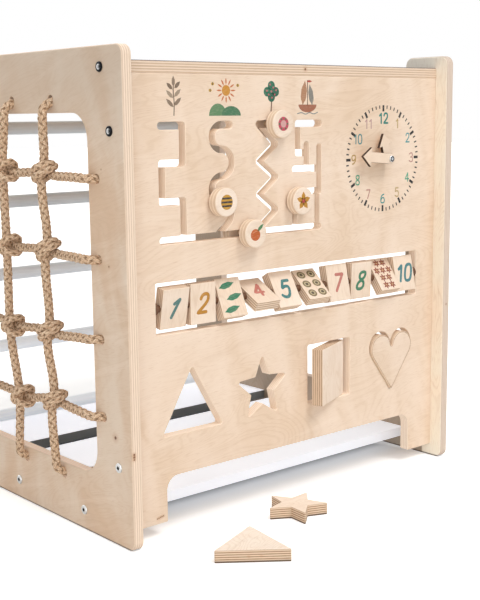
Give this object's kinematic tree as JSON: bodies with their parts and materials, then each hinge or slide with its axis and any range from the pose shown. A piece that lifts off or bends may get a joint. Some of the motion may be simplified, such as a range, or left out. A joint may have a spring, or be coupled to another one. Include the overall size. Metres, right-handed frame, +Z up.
{
  "type": "activity cube",
  "caption": "Open plywood play cube with a rope net, a ladder, a play panel with maze, number blocks, clock and sorting holes, and loose sorting pieces.",
  "frame": {"origin": "middle of the footprint of the cube and its loose pieces, on the floor; cords are left out", "axes": "+X from the rope net side to the doorway side, +Y from the play panel to the ladder, +Z up"},
  "size_m": [0.7746, 0.9358, 0.76],
  "materials": {
    "birch_ply": "clear matt varnish on birch plywood",
    "block_ply": "clear matt varnish, printed faces",
    "lasered_ply": "plywood with dark cut edges",
    "maple": "sanded, clear matt varnish",
    "white_paint": "white paint on plywood",
    "pale_grey_paint": "pale paint on round wooden bars",
    "dark_film": "matt dark writing sheet",
    "jute": "twisted natural jute",
    "black_steel": "black coated",
    "zinc_steel": "zinc plated",
    "dark_rod": "dark brown coated"
  },
  "bodies": {
    "cube": {"left_side_panel": "birch_ply", "right_side_panel": "birch_ply", "front_panel": "birch_ply", "top_board": "birch_ply", "top_film": "dark_film", "floor_slat_front": "white_paint", "floor_slat_rear": "white_paint", "rung_1": "pale_grey_paint", "rung_2": "pale_grey_paint", "rung_3": "pale_grey_paint", "rung_4": "pale_grey_paint", "rung_5": "pale_grey_paint", "rope_upright_1": "jute", "rope_upright_2": "jute", "rope_upright_3": "jute", "rope_upright_4": "jute", "rope_level_1": "jute", "rope_level_2": "jute", "rope_level_3": "jute", "rope_level_4": "jute", "net_knots": "jute", "rope_end_knots": "jute", "black_bolts": "black_steel", "silver_bolts": "zinc_steel", "rung_screws": "zinc_steel", "barrel_nuts": "zinc_steel", "clock_screw": "zinc_steel", "clock_spacers": "zinc_steel", "clock_nut": "zinc_steel", "number_rod": "dark_rod", "rod_collars": "dark_rod"},
    "hour_hand": {"hour_hand": "lasered_ply"},
    "minute_hand": {"minute_hand": "lasered_ply"},
    "wave_knob": {"wave_knob_axle": "maple", "wave_knob_rear": "maple"},
    "wave_knob_front": {"wave_knob_disc": "maple"},
    "zigzag_knob": {"zigzag_knob_axle": "maple", "zigzag_knob_rear": "maple"},
    "zigzag_knob_front": {"zigzag_knob_disc": "maple"},
    "grid_knob": {"grid_knob_axle": "maple", "grid_knob_rear": "maple"},
    "grid_knob_front": {"grid_knob_disc": "maple"},
    "floor_knob": {"floor_knob_axle": "maple", "floor_knob_rear": "maple"},
    "floor_knob_front": {"floor_knob_disc": "maple"},
    "number_block_1": {"number_block_1": "block_ply"},
    "number_block_2": {"number_block_2": "block_ply"},
    "number_block_3": {"number_block_3": "block_ply"},
    "number_block_4": {"number_block_4": "block_ply"},
    "number_block_5": {"number_block_5": "block_ply"},
    "number_block_6": {"number_block_6": "block_ply"},
    "number_block_7": {"number_block_7": "block_ply"},
    "number_block_8": {"number_block_8": "block_ply"},
    "number_block_9": {"number_block_9": "block_ply"},
    "number_block_10": {"number_block_10": "block_ply"},
    "heart_piece": {"heart_piece": "birch_ply"},
    "square_piece": {"square_piece": "birch_ply"},
    "triangle_piece": {"triangle_piece": "birch_ply"},
    "star_piece": {"star_piece": "birch_ply"}
  },
  "joints": [
    {"name": "hour_hand_turn", "type": "hinge", "parent": "cube", "child": "hour_hand", "pos_m": [0.2085, -0.27009, 0.578], "axis": [0, 1, 0], "continuous": true},
    {"name": "minute_hand_turn", "type": "hinge", "parent": "cube", "child": "minute_hand", "pos_m": [0.2085, -0.27709, 0.578], "axis": [0, 1, 0], "continuous": true},
    {"name": "wave_knob_run", "type": "hinge", "parent": "cube", "child": "wave_knob", "pos_m": [-0.165, -0.25109, 0.542], "axis": [0, 1, 0], "range_deg": [-23, 157]},
    {"name": "zigzag_knob_run", "type": "slide", "parent": "cube", "child": "zigzag_knob", "axis": [1, 0, 0], "range_m": [-0.035, 0]},
    {"name": "grid_knob_run", "type": "slide", "parent": "cube", "child": "grid_knob", "axis": [0, 0, 1], "range_m": [-0.0467, 0.0083]},
    {"name": "floor_knob_run", "type": "slide", "parent": "cube", "child": "floor_knob", "axis": [1, 0, 0], "range_m": [-0.1706, 0.1604]},
    {"name": "wave_knob_spin", "type": "hinge", "parent": "wave_knob", "child": "wave_knob_front", "pos_m": [-0.17309, -0.27209, 0.52295], "axis": [0, 1, 0], "continuous": true},
    {"name": "zigzag_knob_spin", "type": "hinge", "parent": "zigzag_knob", "child": "zigzag_knob_front", "pos_m": [-0.052, -0.27209, 0.6425], "axis": [0, 1, 0], "continuous": true},
    {"name": "grid_knob_spin", "type": "hinge", "parent": "grid_knob", "child": "grid_knob_front", "pos_m": [-0.0075, -0.27209, 0.5157], "axis": [0, 1, 0], "continuous": true},
    {"name": "floor_knob_spin", "type": "hinge", "parent": "floor_knob", "child": "floor_knob_front", "pos_m": [-0.1124, -0.27209, 0.469], "axis": [0, 1, 0], "continuous": true},
    {"name": "number_block_1_spin", "type": "hinge", "parent": "cube", "child": "number_block_1", "pos_m": [-0.263, -0.25109, 0.3643], "axis": [1, 0, 0], "continuous": true},
    {"name": "number_block_2_spin", "type": "hinge", "parent": "cube", "child": "number_block_2", "pos_m": [-0.2066, -0.25109, 0.3643], "axis": [1, 0, 0], "continuous": true},
    {"name": "number_block_3_spin", "type": "hinge", "parent": "cube", "child": "number_block_3", "pos_m": [-0.1482, -0.25109, 0.3643], "axis": [1, 0, 0], "continuous": true},
    {"name": "number_block_4_spin", "type": "hinge", "parent": "cube", "child": "number_block_4", "pos_m": [-0.0874, -0.25109, 0.3643], "axis": [1, 0, 0], "continuous": true},
    {"name": "number_block_5_spin", "type": "hinge", "parent": "cube", "child": "number_block_5", "pos_m": [-0.0291, -0.25109, 0.3643], "axis": [1, 0, 0], "continuous": true},
    {"name": "number_block_6_spin", "type": "hinge", "parent": "cube", "child": "number_block_6", "pos_m": [0.0341, -0.25109, 0.3643], "axis": [1, 0, 0], "continuous": true},
    {"name": "number_block_7_spin", "type": "hinge", "parent": "cube", "child": "number_block_7", "pos_m": [0.0967, -0.25109, 0.3643], "axis": [1, 0, 0], "continuous": true},
    {"name": "number_block_8_spin", "type": "hinge", "parent": "cube", "child": "number_block_8", "pos_m": [0.1547, -0.25109, 0.3643], "axis": [1, 0, 0], "continuous": true},
    {"name": "number_block_9_spin", "type": "hinge", "parent": "cube", "child": "number_block_9", "pos_m": [0.2168, -0.25109, 0.3643], "axis": [1, 0, 0], "continuous": true},
    {"name": "number_block_10_spin", "type": "hinge", "parent": "cube", "child": "number_block_10", "pos_m": [0.2699, -0.25109, 0.3643], "axis": [1, 0, 0], "continuous": true},
    {"name": "heart_piece_pull", "type": "slide", "parent": "cube", "child": "heart_piece", "axis": [0, -1, 0], "range_m": [0, 0.08]},
    {"name": "square_piece_pull", "type": "slide", "parent": "cube", "child": "square_piece", "axis": [0, -1, 0], "range_m": [0, 0.08]},
    {"name": "triangle_piece_lift", "type": "slide", "parent": "cube", "child": "triangle_piece", "axis": [0, 0, 1], "range_m": [0, 0.1]},
    {"name": "star_piece_lift", "type": "slide", "parent": "cube", "child": "star_piece", "axis": [0, 0, 1], "range_m": [0, 0.1]}
  ]
}
